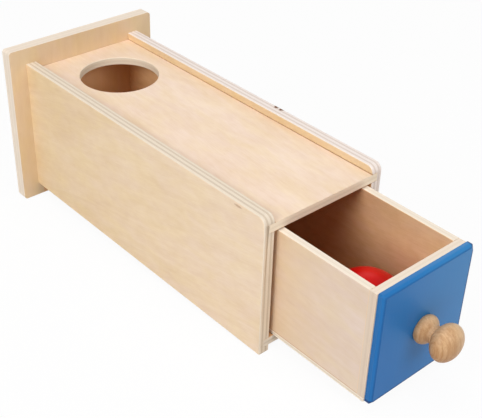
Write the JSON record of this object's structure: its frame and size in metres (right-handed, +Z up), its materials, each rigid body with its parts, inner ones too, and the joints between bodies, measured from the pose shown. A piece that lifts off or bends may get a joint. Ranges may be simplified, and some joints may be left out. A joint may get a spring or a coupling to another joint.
{
  "type": "object permanence box",
  "caption": "Wooden box with a round ball hole in its top and a drawer with a turned knob, from which a child takes back the ball dropped through the hole.",
  "frame": {"origin": "on the floor, under the middle of the box that holds the whole object with its drawer as pictured", "axes": "+Z up from the floor, the drawer and knob face -Y, +X to the right seen from the front"},
  "size_m": [0.131, 0.3941, 0.1303],
  "materials": {
    "birch_ply": "clear satin lacquer on birch plywood",
    "blue_paint": "satin blue paint on wood",
    "beech": "clear satin lacquer on turned beech",
    "red_paint": "gloss red paint on wood",
    "steel": "bare steel"
  },
  "bodies": {
    "casing": {"left_side": "birch_ply", "right_side": "birch_ply", "top_panel": "birch_ply", "bottom_panel": "birch_ply", "back_plate": "birch_ply", "back_plate_pins": "steel"},
    "drawer": {"drawer_left_side": "birch_ply", "drawer_right_side": "birch_ply", "drawer_inner_front": "birch_ply", "drawer_back": "birch_ply", "drawer_bottom": "birch_ply", "drawer_front": "blue_paint", "knob": "beech", "knob_screw": "steel", "drawer_front_pins": "steel", "drawer_back_pins": "steel", "drawer_bottom_pins": "steel"},
    "ball": {"ball": "red_paint"}
  },
  "joints": [
    {"name": "drawer_slide", "type": "slide", "parent": "casing", "child": "drawer", "axis": [0, -0.9992, -0.0389], "range_m": [-0.085, 0.115]},
    {"name": "ball_roll", "type": "slide", "parent": "drawer", "child": "ball", "axis": [0, 0.9992, 0.0389], "range_m": [0, 0.196]}
  ]
}
